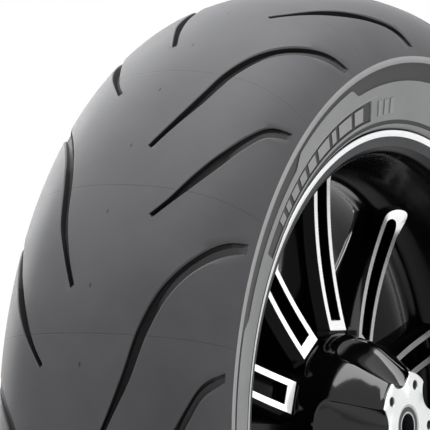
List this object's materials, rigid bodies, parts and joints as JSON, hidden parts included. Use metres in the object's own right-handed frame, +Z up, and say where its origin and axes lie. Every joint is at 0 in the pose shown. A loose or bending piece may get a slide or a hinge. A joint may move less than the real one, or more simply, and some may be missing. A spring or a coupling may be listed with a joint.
{
  "type": "motorcycle tire",
  "caption": "Motorcycle rear tire fitted on a spoked cast wheel: sweeping tread grooves, black spokes with machined faces, a fluted hub, axle bearings and a valve.",
  "frame": {"origin": "centre of the wheel, on the axle's centre line, halfway between the two bolt faces", "axes": "+Y along the axle towards the drive side, the brake side is -Y, +Z up; the wheel rolls in the XZ plane"},
  "size_m": [0.6403, 0.1886, 0.6404],
  "materials": {
    "tread_rubber": "matte moulded rubber",
    "side_rubber": "satin moulded rubber",
    "liner_rubber": "matte",
    "bead_rubber": "matte",
    "ply_cord": "rubber-coated cord",
    "belt_cord": "rubber-coated aramid cord",
    "bead_wire": "plated wire",
    "black_cast_aluminium": "gloss black powder coat, machined lip",
    "machined_aluminium": "turned faces",
    "bearing_steel": "ground",
    "cage_brass": "satin",
    "seal_rubber": "matte",
    "spacer_steel": "plated",
    "valve_rubber": "satin",
    "valve_brass": "turned",
    "cap_plastic": "moulded"
  },
  "bodies": {
    "axle_parts": {"bearing_inner_left": "bearing_steel", "bearing_inner_right": "bearing_steel", "spacer_tube": "spacer_steel"},
    "wheel": {"tread_cap": "tread_rubber", "tread_base": "tread_rubber", "belt_outer": "belt_cord", "belt_inner": "belt_cord", "carcass_ply": "ply_cord", "inner_liner": "liner_rubber", "sidewall_left": "side_rubber", "sidewall_right": "side_rubber", "chafer_left": "bead_rubber", "chafer_right": "bead_rubber", "bead_core_left": "bead_wire", "bead_core_right": "bead_wire", "bead_filler_left": "bead_rubber", "bead_filler_right": "bead_rubber", "rim": "black_cast_aluminium", "spokes": "black_cast_aluminium", "hub": "machined_aluminium", "bearing_outer_left": "bearing_steel", "bearing_outer_right": "bearing_steel", "bearing_seals_left": "seal_rubber", "bearing_seals_right": "seal_rubber", "valve_base": "valve_rubber", "valve_stem": "valve_brass", "valve_core": "valve_brass"},
    "cage_left": {"bearing_cage_left": "cage_brass", "bearing_balls_left": "bearing_steel"},
    "cage_right": {"bearing_cage_right": "cage_brass", "bearing_balls_right": "bearing_steel"},
    "valve_pin": {"valve_pin": "valve_brass"},
    "valve_cap": {"valve_cap": "cap_plastic"}
  },
  "joints": [
    {"name": "wheel_spin", "type": "hinge", "parent": "axle_parts", "child": "wheel", "pos_m": [0, 0, 0], "axis": [0, 1, 0], "continuous": true},
    {"name": "cage_left_spin", "type": "hinge", "parent": "axle_parts", "child": "cage_left", "pos_m": [0, -0.0792, 0], "axis": [0, 1, 0], "continuous": true},
    {"name": "cage_right_spin", "type": "hinge", "parent": "axle_parts", "child": "cage_right", "pos_m": [0, 0.0792, 0], "axis": [0, 1, 0], "continuous": true},
    {"name": "valve_pin_press", "type": "slide", "parent": "wheel", "child": "valve_pin", "axis": [0.309, 0, -0.9511], "range_m": [0, 0.0015], "stiffness_N_per_m": 2000},
    {"name": "valve_cap_off", "type": "slide", "parent": "wheel", "child": "valve_cap", "axis": [-0.309, 0, 0.9511], "range_m": [0, 0.02]}
  ],
  "couplings": [
    {"joint": "cage_left_spin", "follows": "wheel_spin", "ratio": 0.581},
    {"joint": "cage_right_spin", "follows": "wheel_spin", "ratio": 0.581}
  ]
}
